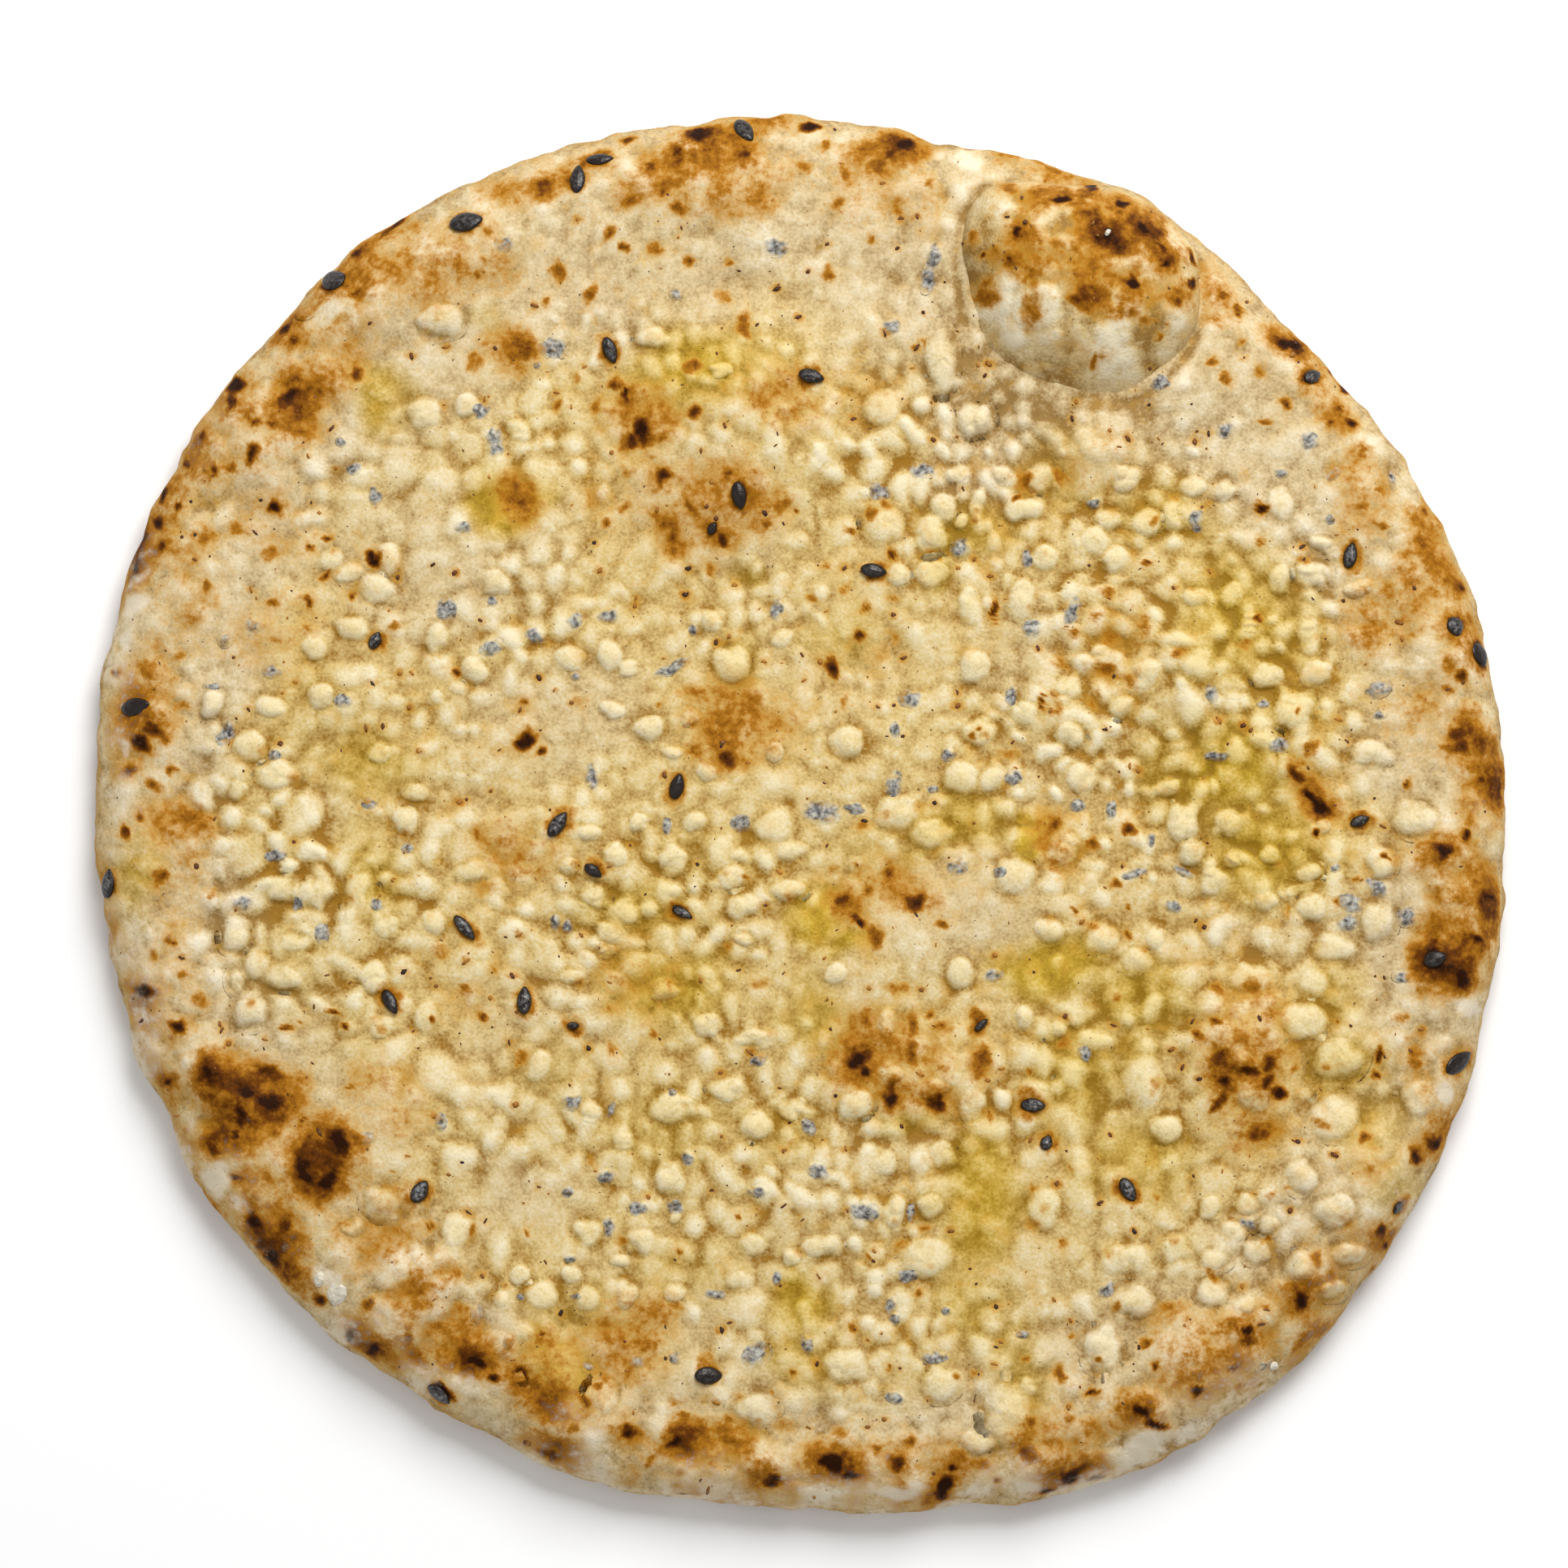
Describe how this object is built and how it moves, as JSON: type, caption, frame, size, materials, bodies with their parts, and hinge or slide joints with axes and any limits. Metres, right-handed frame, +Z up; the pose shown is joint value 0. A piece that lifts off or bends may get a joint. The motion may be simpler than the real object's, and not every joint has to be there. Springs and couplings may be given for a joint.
{
  "type": "cheese pizza",
  "caption": "Round flat cheese pizza with a browned bread rim, a large dough bubble, melted curd cheese and dark sesame seeds.",
  "frame": {"origin": "middle of the flat underside", "axes": "+Z up out of the cheese, +Y towards the side of the rim nearest the large bubble, +X to the right when seen from above"},
  "size_m": [0.1798, 0.1781, 0.0166],
  "materials": {
    "baked_dough": "matt baked flour dough, golden to brown with charred spots",
    "melted_curd_cheese": "cream melted curd cheese, slightly oily"
  },
  "bodies": {
    "root": {"crust": "baked_dough", "cheese": "melted_curd_cheese"}
  },
  "joints": []
}
